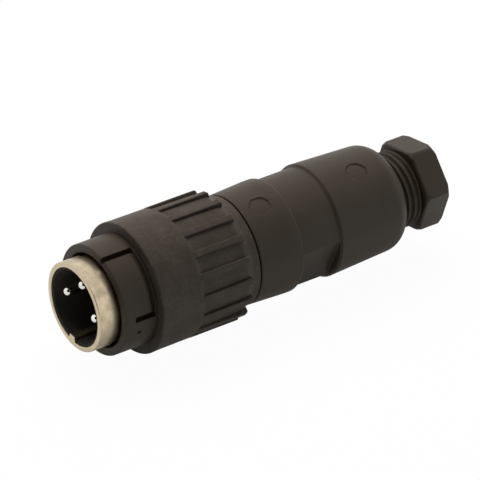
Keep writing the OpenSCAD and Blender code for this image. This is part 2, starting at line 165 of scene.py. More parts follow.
def new_material(name: str) -> tuple[bpy.types.Material, bpy.types.NodeTree, Any]:
    """Makes an empty node material.

    Args:
        name: The material's name.

    Returns:
        The material, its tree and its output node.
    """
    material = bpy.data.materials.new(name)
    material.use_nodes = True
    tree = material.node_tree
    tree.nodes.clear()
    return material, tree, add_node(tree, "ShaderNodeOutputMaterial")


@dataclass(frozen=True)
class MouldedPlastic:
    """A moulded plastic or rubber: one colour, and the grain that its mould left on the skin.

    The grain breaks up the gloss, and slow patches of it are a little paler, where the mould wore thin. The
    real grain is too fine to show in the render, so grain_mm is as coarse as it needs to be.
    """

    name: str
    colour: str
    pale: str
    roughness: float
    gloss: float
    grain_mm: float
    grain_depth_mm: float
    patch_mm: float = 4.0
    ior: float = 1.49
    pale_from: float = 0.12
    pale_to: float = 0.42
    grain_low: float = 0.3
    grain_high: float = 0.7
    smoother: float = 0.05
    rougher: float = 0.06

    def build(self) -> bpy.types.Material:
        """Makes the material.

        Returns:
            The new material.
        """
        material, tree, output = new_material(self.name)
        place = add_node(tree, "ShaderNodeTexCoord").outputs["Object"]
        patches = add_node(tree, "ShaderNodeTexNoise", {
            "Vector": place, "Scale": per_metre(self.patch_mm), "Detail": 3.0, "Roughness": 0.6})
        grain = add_node(tree, "ShaderNodeTexNoise", {
            "Vector": place, "Scale": per_metre(self.grain_mm), "Detail": 2.0, "Roughness": 0.55})
        both = add_node(tree, "ShaderNodeMath", {
            0: patches.outputs["Fac"], 1: grain.outputs["Fac"]}, operation="MULTIPLY")
        ramp = add_node(tree, "ShaderNodeMapRange", {
            "Value": both.outputs[0], "From Min": self.pale_from, "From Max": self.pale_to})
        colour = add_node(tree, "ShaderNodeMix", {
            "Factor": ramp.outputs["Result"], "A": linear(self.colour), "B": linear(self.pale)},
            data_type="RGBA")
        rough = add_node(tree, "ShaderNodeMapRange", {
            "Value": grain.outputs["Fac"], "From Min": self.grain_low, "From Max": self.grain_high,
            "To Min": self.roughness - self.smoother, "To Max": self.roughness + self.rougher})
        bump = add_node(tree, "ShaderNodeBump", {
            "Strength": 1.0, "Distance": self.grain_depth_mm * MM, "Height": grain.outputs["Fac"]})
        shader = add_node(tree, "ShaderNodeBsdfPrincipled", {
            "Base Color": colour.outputs["Result"], "Roughness": rough.outputs["Result"], "IOR": self.ior,
            "Specular IOR Level": self.gloss, "Normal": bump.outputs["Normal"]})
        tree.links.new(shader.outputs["BSDF"], output.inputs["Surface"])
        return material


@dataclass(frozen=True)
class PlatedMetal:
    """Plated or drawn metal: its colour, dulled in soft patches by handling, with the tool's fine rings.

    The rings are drawn coarser than a tool leaves them, so that they show. A plate may get painted shade at
    its
    rim: another colour on the rim's front, which fades out over the length given with it.
    """

    name: str
    colour: str
    dull: str
    roughness: float
    patch_mm: float
    ring_mm: float
    ring_depth_mm: float
    rim_shade: str = WHITE
    rim_shade_mm: float = 0.0
    dull_from: float = 0.38
    dull_to: float = 0.66
    rough_from: float = 0.35
    rough_to: float = 0.7
    smoother: float = 0.05
    rougher: float = 0.1

    def build(self) -> bpy.types.Material:
        """Makes the material.

        Returns:
            The new material.
        """
        material, tree, output = new_material(self.name)
        place = add_node(tree, "ShaderNodeTexCoord").outputs["Object"]
        patches = add_node(tree, "ShaderNodeTexNoise", {
            "Vector": place, "Scale": per_metre(self.patch_mm), "Detail": 4.0, "Roughness": 0.62})
        ramp = add_node(tree, "ShaderNodeMapRange", {
            "Value": patches.outputs["Fac"], "From Min": self.dull_from, "From Max": self.dull_to})
        colour = add_node(tree, "ShaderNodeMix", {
            "Factor": ramp.outputs["Result"], "A": linear(self.colour), "B": linear(self.dull)},
            data_type="RGBA")
        rough = add_node(tree, "ShaderNodeMapRange", {
            "Value": patches.outputs["Fac"], "From Min": self.rough_from, "From Max": self.rough_to,
            "To Min": self.roughness - self.smoother, "To Max": self.roughness + self.rougher})
        along = add_node(tree, "ShaderNodeSeparateXYZ", {"Vector": place})
        # Painted shade: the rim's front takes another, darker colour, which fades out towards the back
        if self.rim_shade_mm:
            rim_shaded = add_node(tree, "ShaderNodeMapRange", {
                "Value": along.outputs["X"], "From Min": 0.0, "From Max": self.rim_shade_mm * MM})
            colour = add_node(tree, "ShaderNodeMix", {
                "Factor": rim_shaded.outputs["Result"], "A": linear(self.rim_shade), "B": colour.outputs["Result"]},
                data_type="RGBA")
        rings = add_node(tree, "ShaderNodeTexNoise", {
            "W": along.outputs["X"], "Scale": per_metre(self.ring_mm), "Detail": 2.0}, noise_dimensions="1D")
        bump = add_node(tree, "ShaderNodeBump", {
            "Strength": 1.0, "Distance": self.ring_depth_mm * MM, "Height": rings.outputs["Fac"]})
        shader = add_node(tree, "ShaderNodeBsdfPrincipled", {
            "Base Color": colour.outputs["Result"], "Metallic": 1.0, "Roughness": rough.outputs["Result"],
            "Normal": bump.outputs["Normal"]})
        tree.links.new(shader.outputs["BSDF"], output.inputs["Surface"])
        return material


# Satin nylon of the back shell, the bayonet ring and the gland nut: a warm black, nearly smooth, so that
# light slides along it
SATIN_NYLON = MouldedPlastic(
    "nylon_moulded_satin", "#352d22", "#3b3329",
    roughness=0.5, gloss=0.31, grain_mm=0.35, grain_depth_mm=0.004)
# Grained nylon of the grip sleeve: a coarse spark-eroded mould leaves a dry, faintly speckled skin
GRAINED_NYLON = MouldedPlastic(
    "nylon_moulded_grained", "#342c23", "#4c443b",
    roughness=0.58, gloss=0.33, grain_mm=0.5, grain_depth_mm=0.03, patch_mm=2.2)
# Polyester of the insert and the spacer: a neutral black with next to no gloss, so the hollow stays dark
INSERT_PLASTIC = MouldedPlastic(
    "polyester_moulded_black", "#3c3935", "#423f3a",
    roughness=0.7, gloss=0.06, grain_mm=0.5, grain_depth_mm=0.004)
# Unfilled acetal of the gland's slip parts: off-white and waxy
SLIP_PLASTIC = MouldedPlastic(
    "acetal_moulded_white", "#d6d3c9", "#dedbd2",
    roughness=0.4, gloss=0.5, grain_mm=0.8, grain_depth_mm=0.003)
# Nitrile rubber of the seals: matt, with a fine bloom
SEAL_RUBBER = MouldedPlastic(
    "nitrile_rubber_moulded", "#141416", "#1c1c1e",
    roughness=0.7, gloss=0.3, grain_mm=0.4, grain_depth_mm=0.006)
# Nickel plate on the brass contact shell: a warm grey, clouded by handling, with painted shade on the rim's
# front
NICKEL_PLATE = PlatedMetal(
    "brass_nickel_plated", "#d8c8ab", "#bfae92",
    roughness=0.34, patch_mm=1.4, ring_mm=0.25, ring_depth_mm=0.0012, rim_shade="#cdbd9f", rim_shade_mm=0.2)
# Silver plate on the pins: bright and nearly clean
SILVER_PLATE = PlatedMetal(
    "brass_silver_plated", "#f2f0ec", "#dcd8d0",
    roughness=0.12, patch_mm=1.2, ring_mm=0.2, ring_depth_mm=0.0004)
# Drawn spring steel of the spring, the washer and the split ring: a cool grey with a soft, streaked shine
SPRING_STEEL = PlatedMetal(
    "spring_steel_drawn", "#a9abad", "#87898c",
    roughness=0.28, patch_mm=1.0, ring_mm=0.15, ring_depth_mm=0.001)


def shared(finish: MouldedPlastic | PlatedMetal) -> bpy.types.Material:
    """A finish's material, which is made the first time that a piece asks for it."""
    return bpy.data.materials.get(finish.name) or finish.build()


def arc_corner(before: np.ndarray, at: np.ndarray, after: np.ndarray, radius: float) -> Outline:
    """Rounds one corner of an outline.

    Args:
        before: The corner before, as x and radius.
        at: The corner itself.
        after: The corner after.
        radius: The rounding's radius; the sides beside the corner limit it.

    Returns:
        The points that stand for the corner.
    """
    if radius <= 0:
        return [tuple(at)]
    to_before = (before - at) / np.linalg.norm(before - at)
    to_after = (after - at) / np.linalg.norm(after - at)
    half = math.acos(float(np.clip(to_before @ to_after, -1, 1))) / 2
    longest = SIDE_PART * min(np.linalg.norm(before - at), np.linalg.norm(after - at))
    reach = min(radius / math.tan(half), longest)
    bisector = to_before + to_after
    centre = at + bisector / np.linalg.norm(bisector) * reach / math.cos(half)
    start = at + to_before * reach - centre
    finish = at + to_after * reach - centre
    side = np.sign(start[0] * finish[1] - start[1] * finish[0])
    steps = SMALL_STEPS if radius < LARGE_ROUNDING_MM else LARGE_STEPS
    points = []
    for i in range(steps + 1):
        turn = side * (math.pi - 2 * half) * i / steps
        points.append((centre[0] + start[0] * math.cos(turn) - start[1] * math.sin(turn),
                       centre[1] + start[0] * math.sin(turn) + start[1] * math.cos(turn)))
    return points


def rounded(corners: Iterable[Corner], longest_mm: float = math.inf) -> Outline:
    """Makes an open outline from corners.

    Args:
        corners: Corners as x, radius about the axis and rounding, in millimetres. The ends stay sharp.
        longest_mm: The longest straight stretch before points are added.

    Returns:
        The outline's points as x and radius.
    """
    places = [(np.array(c[:2], float), c[2]) for c in corners]
    points: Outline = []
    for i, (at, radius) in enumerate(places):
        inner = 0 < i < len(places) - 1
        points += arc_corner(places[i - 1][0], at, places[i + 1][0], radius) if inner else [tuple(at)]
    full = [points[0]]
    for a, b in zip(points, points[1:]):
        parts = max(1, math.ceil(math.dist(a, b) / longest_mm))
        for k in range(1, parts + 1):
            full.append((a[0] + (b[0] - a[0]) * k / parts, a[1] + (b[1] - a[1]) * k / parts))
    return full


def off_angle(angle: np.ndarray, centre: float) -> np.ndarray:
    """Angle from a centre, in degrees between -180 and 180."""
    return (angle - centre + 180) % 360 - 180


def smooth_step(value: np.ndarray) -> np.ndarray:
    """Eases from 0 to 1 as value goes from 0 to 1."""
    t = np.clip(value, 0, 1)
    return t * t * (3 - 2 * t)


def round_in(depth: np.ndarray, radius: float) -> np.ndarray:
    """How far a rounded edge is drawn in, at a depth behind the edge."""
    short = np.clip(radius - depth, 0, radius)
    return radius - np.sqrt(radius ** 2 - short ** 2)


def with_stations(outline: Outline, stations: Iterable[float]) -> Outline:
    """Adds points to an outline.

    Args:
        outline: The outline.
        stations: Places along the axis; each gets a point where the outline passes it on its way to +X.

    Returns:
        The outline with those points.
    """
    full = [outline[0]]
    for (x0, r0), (x1, r1) in zip(outline, outline[1:]):
        between = sorted(x for x in stations if x0 < x < x1)
        full += [(x, r0 + (r1 - r0) * (x - x0) / (x1 - x0)) for x in between] + [(x1, r1)]
    return full


def even_angles(count: int) -> np.ndarray:
    """That many angles about the axis, evenly spaced."""
    return np.arange(count) * 360 / count


class TurnedSkin:
    """A closed skin around the axis, made of rings whose radius may change around the ring."""

    def __init__(self, angle: np.ndarray) -> None:
        """Starts an empty skin with a point on each ring at each angle."""
        self.angle = angle
        self.rings: list[tuple[np.ndarray, np.ndarray]] = []

    def add(self, x: float | np.ndarray, radius: float | np.ndarray) -> None:
        """Adds one ring.

        Args:
            x: The ring's place along the axis, in millimetres.
            radius: The ring's radius, in millimetres.
        """
        flat = np.zeros_like(self.angle)
        self.rings.append((flat + x, flat + radius))

    def add_outline(self, outline: Outline, feature: Feature | None = None) -> None:
        """Adds a ring for each point of an outline.

        Args:
            outline: Points as x and radius.
            feature: Changes the radius from x, angle and radius, or None.
        """
        for x, radius in outline:
            flat = np.zeros_like(self.angle)
            self.add(x, feature(flat + x, self.angle, flat + radius) if feature else radius)

    def build(self, name: str, material: bpy.types.Material) -> bpy.types.Object:
        """Makes the object; the last ring is joined to the first.

        Args:
            name: The object's name.
            material: Its material.

        Returns:
            The new object.
        """
        columns = len(self.angle)
        turn = np.radians(self.angle)
        points = [np.stack([x, -r * np.sin(turn), r * np.cos(turn)], axis=1) * MM for x, r in self.rings]
        quads = []
        for ring in range(len(points)):
            a, b = ring * columns, (ring + 1) % len(points) * columns
            quads += [(a + j, a + (j + 1) % columns, b + (j + 1) % columns, b + j) for j in range(columns)]
        mesh = bpy.data.meshes.new(name)
        mesh.from_pydata(np.concatenate(points).tolist(), [], quads)
        return as_piece(mesh, name, material)


def as_piece(mesh: bpy.types.Mesh, name: str, material: bpy.types.Material) -> bpy.types.Object:
    """Cleans a mesh and makes an object of it.

    Args:
        mesh: The mesh.
        name: The object's name.
        material: Its material.

    Returns:
        The new object.
    """
    work = bmesh.new()
    work.from_mesh(mesh)
    bmesh.ops.remove_doubles(work, verts=work.verts, dist=WELD_MM * MM)
    bmesh.ops.recalc_face_normals(work, faces=work.faces)
    work.to_mesh(mesh)
    work.free()
    mesh.polygons.foreach_set("use_smooth", [True] * len(mesh.polygons))
    mesh.set_sharp_from_angle(angle=math.radians(SHARP_DEG))
    mesh.materials.append(material)
    piece = bpy.data.objects.new(name, mesh)
    bpy.context.scene.collection.objects.link(piece)
    return piece


def fit_piece(piece: bpy.types.Object, body: Body, node: str) -> None:
    """Puts a piece in the place of a CAD node.

    Args:
        piece: The piece.
        body: The body that it rides on.
        node: The node that it stands for.
    """
    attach(piece, body.value)
    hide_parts(node)
    LOG.info("%s stands for %s on %s, %d faces", piece.name, node, body.value, len(piece.data.polygons))


def span(node: str) -> tuple[float, float, float]:
    """Where a CAD node starts and ends along the axis, and its largest radius, in millimetres."""
    low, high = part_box(node)
    return low.x / MM, high.x / MM, max(high.z, -low.z) / MM


def dress_node(node: str, material: bpy.types.Material) -> None:
    """Gives a CAD node that stays as it is its material.

    Args:
        node: The node.
        material: Its material.
    """
    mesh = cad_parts[node].data
    mesh.materials.clear()
    mesh.materials.append(material)
    LOG.info("%s keeps its own shape", node)


def flex_node(node: str, name: str, mover: Body, material: bpy.types.Material) -> None:
    """Puts a copy in the place of a CAD node that is held in front and pressed from behind, and hides the
    node.

    Args:
        node: The node, whose front end stays on the plug's body.
        name: The copy's name.
        mover: The body that presses its rear end; it is only named in the log.
        material: The copy's material.
    """
    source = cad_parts[node]
    mesh = source.data.copy()
    mesh.materials.clear()
    mesh.materials.append(material)
    piece = bpy.data.objects.new(name, mesh)
    bpy.context.scene.collection.objects.link(piece)
    bpy.context.view_layer.update()
    piece.matrix_world = source.matrix_world.copy()
    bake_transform(piece)
    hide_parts(node)
    LOG.info("%s stands for %s and gives way between %s and %s", name, node, Body.PLUG.value, mover.value)


@dataclass
class ContactSet:
    """The nickel-plated shell with its key, the insert and the three pins."""

    rim_edge: float = 0.14
    shell_wall: float = 0.75
    shell_step: float = 0.2
    mating_len: float = 3.05
    key_w: float = 1.2
    key_reach: float = 0.8
    key_len: float = 9.25
    key_angle: float = 187.0
    key_edge: float = 0.04
    key_step: float = 0.02
    key_end: float = 0.05
    key_zone_rad: float = 1.0
    liner_setback: float = 0.2
    step_edge: float = 0.05
    columns: int = 480
    pin_nodes: tuple[str, ...] = ("contact_pin_1", "contact_pin_2", "contact_pin_3")

    def key(self, x: np.ndarray, angle: np.ndarray, radius: np.ndarray) -> np.ndarray:
        """Lowers the shell's inner wall to the key's flat top.

        Args:
            x: Place along the axis.
            angle: Angle about the axis.
            radius: The inner wall's radius.

        Returns:
            The wall's radius with the key.
        """
        off = np.radians(off_angle(angle, self.key_angle))
        top = (radius - self.key_reach) / np.cos(np.clip(off, -self.key_zone_rad, self.key_zone_rad))
        foot = np.where(x < self.liner_setback - self.key_step / 2, top, radius)
        sideways = np.abs(foot * np.sin(off))
        share = 1 - smooth_step((sideways - (self.key_w - self.key_edge) / 2) / self.key_edge)
        here = (np.abs(off) < self.key_zone_rad) & (x < self.key_len)
        return np.where(here, radius - (radius - top) * share, radius)

    def build_shell(self, material: bpy.types.Material) -> None:
        """Builds the contact shell.

        Args:
            material: The shell's material.
        """
        x0, x1, r = span("contact_shell")
        inner = r - self.shell_wall
        middle = inner + self.shell_wall / 2
        skin = TurnedSkin(even_angles(self.columns))
        skin.add_outline(rounded([
            (x0, middle, 0), (x0, r, self.rim_edge), (x0 + self.mating_len, r, self.step_edge),
            (x0 + self.mating_len, r - self.shell_step, 0), (x1, r - self.shell_step, 0), (x1, inner, 0)]))
        skin.add_outline(rounded([(x1, inner, 0), (self.key_len, inner, 0)])[1:])
        keyed = rounded([
            (self.key_len - self.key_end, inner, 0), (self.liner_setback, inner, 0),
            (self.liner_setback - self.key_step, inner, 0), (x0, inner, self.rim_edge / 2), (x0, middle, 0)])
        skin.add_outline(keyed[:-1], self.key)
        fit_piece(skin.build("shell_turned", material), Body.PLUG, "contact_shell")

    def build(self) -> None:
        """Builds and dresses the contacts."""
        self.build_shell(shared(NICKEL_PLATE))
        for node in self.pin_nodes:
            dress_node(node, shared(SILVER_PLATE))
        for node in ("contact_insert", "spacer_sleeve"):
            dress_node(node, shared(INSERT_PLASTIC))
        dress_node("insert_retainer", shared(SPRING_STEEL))


@dataclass
class Coupling:
    """The bayonet ring and the grip sleeve that turn together, with the spring that pushes them back."""

    ring_wall: float = 1.25
    ring_face_len: float = 5.3
    ring_step: float = 0.2
    ring_edge: float = 0.2
    ring_columns: int = 504
    ring_grid: float = 0.09
    entry_angle: float = 17.3
    track_turn: float = 70.2
    track_w: float = 0.85
    track_depth: float = 0.8
    track_run_w: float = 0.8
    track_run_depth: float = 0.42
    track_run_curve: float = 1.5
    track_run_zone: float = 120.0
    track_rim: float = 0.38
    catch_setback: float = 1.7
    dimple_d: float = 0.6
    dimple_turn: float = 16.0
    dimple_depth: float = 0.25
    seat_gap: float = 0.02
    sleeve_edge: float = 0.22
    sleeve_draft: float = 0.1
    sleeve_grid: float = 0.13
    draft_fillet: float = 0.8
    smooth_len: float = 6.7
    rib_count: int = 18
    rib_gap: float = 0.75
    rib_w: float = 1.0
    rib_rise: float = 0.5
    rib_rise_front: float = 0.34
    rib_proud: float = 0.05
    rib_edge: float = 0.14
    rib_end: float = 0.3
    rib_angle: float = 6.5
    rib_wall: float = 0.015
    ground_lead: float = 0.6
    lead_fillet: float = 0.3
    ground_fillet: float = 1.2
    neck_r: float = 8.2
    neck_len: float = 1.3
    neck_fillet: float = 1.0
    neck_edge: float = 0.15
    bearing_r: float = 7.15
    bearing_len: float = 4.6
    chamber_r: float = 8.22
    edge_turns: tuple[float, ...] = (0, 25, 45, 65, 90)
    ground_parts: tuple[float, ...] = (0, 0.1, 0.25, 0.5, 0.75)
    end_parts: tuple[float, ...] = (0.6, 0.3, 0.1, 0)

    def track(self, x0: float) -> Feature:
        """Makes the feature that sinks the two bayonet tracks and their dimples.

        Args:
            x0: The ring's front.

        Returns:
            The feature.
        """
        x_run_end = x0 + self.ring_face_len - self.track_rim
        x_run = x_run_end - self.track_run_w
        x_catch = x0 + self.catch_setback

        def sink(x: np.ndarray, angle: np.ndarray, radius: np.ndarray) -> np.ndarray:
            """Sinks the tracks and dimples into the ring's skin.

            Args:
                x: Place along the axis.
                angle: Angle about the axis.
                radius: The skin's radius.

            Returns:
                The radius with the tracks.
            """
            depth = np.zeros_like(radius)
            side = np.radians(1) * radius
            for turn in OPPOSITE:
                entry = off_angle(angle, self.entry_angle + turn)
                catch = off_angle(angle, self.entry_angle + self.track_turn + turn)
                in_entry = (np.abs(entry * side) < self.track_w / 2) & (x < x_run_end)
                in_catch = (np.abs(catch * side) < self.track_w / 2) & (x > x_catch) & (x < x_run_end)
                between = (entry > 0) & (catch < 0) & (np.abs(entry) < self.track_run_zone)
                in_run = between & (x > x_run) & (x < x_run_end)
                share = np.clip((x - x_run) / self.track_run_w, 0, 1)
                depth = np.where(in_run, self.track_run_depth * share ** self.track_run_curve, depth)
                depth = np.where(in_entry | in_catch, self.track_depth, depth)
                dimple = off_angle(angle, self.entry_angle + self.track_turn + self.dimple_turn + turn)
                away = np.hypot(dimple * side, x - x_catch - self.dimple_d)
                depth = np.where(away < self.dimple_d / 2, self.dimple_depth, depth)
            return radius - depth

        return sink

    def build_ring(self, material: bpy.types.Material) -> None:
        """Builds the bayonet ring.

        Args:
            material: The ring's material.
        """
        x0, x1, r = span("bayonet_ring")
        inner, seat = r - self.ring_wall, r - self.ring_step
        middle = inner + self.ring_wall / 2
        x_step = x0 + self.ring_face_len
        skin = TurnedSkin(even_angles(self.ring_columns))
        face = rounded([(x0, middle, 0), (x0, r, self.ring_edge), (x_step, r, 0)], self.ring_grid)
        skin.add_outline(face, self.track(x0))
        skin.add_outline(rounded([(x_step, seat, 0), (x1, seat, 0), (x1, inner, 0)]))
        skin.add_outline(rounded([(x1, inner, 0), (x0, inner, self.ring_edge), (x0, middle, 0)])[1:-1])
        fit_piece(skin.build("ring_moulded", material), Body.COUPLING, "bayonet_ring")

    def rib_angles(self, crest: float) -> np.ndarray:
        """Angles about the axis that stand closer at the edges and flanks of the ribs.

        Args:
            crest: The radius of the ribs' crests.

        Returns:
            The angles.
        """
        pitch = 360 / self.rib_count
        half, inner = self.rib_w / 2, self.rib_w / 2 - self.rib_edge
        edge = [inner + self.rib_edge * math.sin(math.radians(turn)) for turn in self.edge_turns]
        gap = crest * math.radians(pitch / 2) - half - self.rib_wall
        ground = [half + self.rib_wall + gap * part for part in self.ground_parts]
        beside = np.degrees(np.arcsin(np.array([inner / 2, *edge, *ground]) / crest))
        one = np.concatenate([-beside[::-1], [0.0], beside, [pitch / 2]])
        return np.concatenate([self.rib_angle + i * pitch + one for i in range(self.rib_count)])

    def ribs(self, x_start: float, x_end: float, crest: float) -> Feature:
        """Makes the feature that raises the ribs, with upright flanks and rounded edges.

        Args:
            x_start: Where the ribs start.
            x_end: Where the ribs end.
            crest: The radius of their crests.

        Returns:
            The feature.
        """
        def raise_ribs(x: np.ndarray, angle: np.ndarray, radius: np.ndarray) -> np.ndarray:
            """Raises the ribs from the sleeve's ground.

            Args:
                x: Place along the axis.
                angle: Angle about the axis.
                radius: The ground's radius.

            Returns:
                The radius with the ribs.
            """
            pitch = 360 / self.rib_count
            off = np.radians((angle - self.rib_angle + pitch / 2) % pitch - pitch / 2)
            sideways = np.abs(crest * np.sin(off))
            drop = round_in(self.rib_w / 2 - sideways, self.rib_edge) + round_in(x_end - x, self.rib_end)
            drop += self.rib_proud * (1 - smooth_step((x - x_start) / self.ground_lead))
            here = (sideways < self.rib_w / 2 + self.rib_wall / 2) & (x > x_start) & (x <= x_end)
            return np.maximum(radius, np.where(here, crest - drop, 0))

        return raise_ribs

    def build_sleeve(self, material: bpy.types.Material) -> None:
        """Builds the grip sleeve.

        Args:
            material: The sleeve's material.
        """
        x0, x1, r = span("grip_sleeve")
        _, x_chamber, ring_r = span("bayonet_ring")
        front_bore = ring_r - self.ring_step + self.seat_gap
        smooth_r = r - self.sleeve_draft
        x_rib, x_neck = x0 + self.smooth_len, x1 - self.neck_len
        x_rib_end, x_shoulder = x_neck - self.rib_gap, x1 - self.bearing_len
        crest = smooth_r + self.rib_proud
        skin = TurnedSkin(self.rib_angles(crest))
        outline = rounded([
            (x0, front_bore, 0), (x0, r, self.sleeve_edge),
            (x0 + self.smooth_len / 4, smooth_r + self.sleeve_draft / 3, self.draft_fillet),
            (x_rib, smooth_r, self.lead_fillet),
            (x_rib + self.ground_lead, smooth_r - self.rib_rise_front, self.lead_fillet),
            (x_rib_end - self.rib_rise, smooth_r - self.rib_rise, self.ground_fillet),
            (x_neck, self.neck_r, self.neck_fillet), (x1, self.neck_r, self.neck_edge),
            (x1, self.bearing_r, 0)], self.sleeve_grid)
        ends = [x_rib_end - self.rib_end * part for part in self.end_parts] + [x_rib_end + self.rib_wall]
        skin.add_outline(with_stations(outline, ends), self.ribs(x_rib, x_rib_end, crest))
        skin.add_outline([
            (x_shoulder, self.bearing_r), (x_shoulder, self.chamber_r),
            (x_chamber, self.chamber_r), (x_chamber, front_bore)])
        fit_piece(skin.build("sleeve_moulded", material), Body.COUPLING, "grip_sleeve")

    def build(self) -> None:
        """Builds and dresses the coupling."""
        steel = shared(SPRING_STEEL)
        self.build_ring(shared(SATIN_NYLON))
        self.build_sleeve(shared(GRAINED_NYLON))
        dress_node("front_body", shared(SATIN_NYLON))
        flex_node("coupling_spring", "spring_coil", Body.COUPLING_CARRIER, steel)
        dress_node("coupling_washer", steel)


@dataclass
class BackShell:
    """The collar, the waist with two wrench flats and the rear housing, moulded as one piece."""

    collar_len: float = 7.3
    collar_front_r: float = 8.2
    collar_rear_r: float = 8.47
    collar_crown: float = 1.5
    collar_crown_part: float = 0.8
    front_edge: float = 0.15
    waist_r: float = 8.02
    waist_len: float = 6.55
    waist_edge: float = 0.3
    waist_fillet: float = 0.3
    collar_edge: float = 0.9
    housing_slope: float = 0.3
    housing_edge: float = 0.15
    housing_r: float = 8.44
    housing_end_r: float = 7.86
    rear_edge: float = 2.9
    flats_r: float = 7.0
    flats_angle: float = 114.2
    flats_fillet: float = 0.2
    flats_zone: float = 80.0
    shoulder_setback: float = 0.25
    shoulder_wall: float = 0.01
    shoulder_parts: tuple[float, ...] = (1, 0.5, 0.2, 0.05, 0)
    mark_d: float = 3.1
    mark_depth: float = 0.18
    mark_angle: float = 21.5
    mark_front_at: float = 3.2
    mark_rear_at: float = 6.15
    body_bore_r: float = 7.1
    body_bore_len: float = 6.4
    wire_bore_r: float = 6.1
    gland_bore_r: float = 5.8
    columns: int = 432
    grid: float = 0.17

    def details(self, x0: float) -> Feature:
        """Makes the feature that cuts the wrench flats and the mould marks.

        Args:
            x0: The back shell's front.

        Returns:
            The feature.
        """
        x_collar = x0 + self.collar_len
        x_waist = x_collar + self.waist_len
        x_shoulder = x_waist - self.shoulder_setback

        def cut(x: np.ndarray, angle: np.ndarray, radius: np.ndarray) -> np.ndarray:
            """Cuts the flats and marks into the back shell's skin.

            Args:
                x: Place along the axis.
                angle: Angle about the axis.
                radius: The skin's radius.

            Returns:
                The radius with the flats and marks.
            """
            plane = self.flats_r + round_in(x_shoulder - x, self.flats_fillet)
            for turn in OPPOSITE:
                off = np.clip(off_angle(angle, self.flats_angle + turn), -self.flats_zone, self.flats_zone)
                flat = plane / np.cos(np.radians(off))
                here = (x > x_collar - self.waist_edge / 2) & (x <= x_shoulder)
                radius = np.where(here & (flat < radius), flat, radius)
            for at in (x0 + self.mark_front_at, x_waist + self.mark_rear_at):
                sideways = np.radians(off_angle(angle, self.mark_angle)) * radius
                away = np.hypot(sideways, x - at)
                radius = np.where(away < self.mark_d / 2, radius - self.mark_depth, radius)
            return radius

        return cut

    def build(self) -> None:
        """Builds and dresses the back shell."""
        x0, x1, _ = span("back_shell")
        x_collar = x0 + self.collar_len
        x_waist = x_collar + self.waist_len
        x_shoulder, x_body = x_waist - self.shoulder_setback, x0 + self.body_bore_len
        skin = TurnedSkin(even_angles(self.columns))
        whole = rounded([
            (x0, self.body_bore_r, 0), (x0, self.collar_front_r, self.front_edge),
            (x0 + self.collar_crown_part * self.collar_len, self.collar_rear_r, self.collar_crown),
            (x_collar - self.waist_edge, self.collar_rear_r, self.collar_edge), (x_collar, self.waist_r, 0),
            (x_waist - self.housing_slope, self.waist_r, self.waist_fillet),
            (x_waist, self.housing_r, self.housing_edge),
            (x1, self.housing_end_r, self.rear_edge), (x1, 0, 0)], self.grid)
        outline = [(x, r) for x, r in whole if r > self.gland_bore_r]
        shoulder = [x_shoulder - self.flats_fillet * part for part in self.shoulder_parts]
        shoulder.append(x_shoulder + self.shoulder_wall)
        skin.add_outline(with_stations(outline, shoulder), self.details(x0))
        skin.add_outline(rounded([
            (x1, self.gland_bore_r, 0), (x_waist, self.gland_bore_r, 0), (x_waist, self.wire_bore_r, 0),
            (x_body, self.wire_bore_r, 0), (x_body, self.body_bore_r, 0)])[1:])
        piece = skin.build("back_shell_moulded", shared(SATIN_NYLON))
        fit_piece(piece, Body.PLUG, "back_shell")
        dress_node("housing_gasket", shared(SEAL_RUBBER))


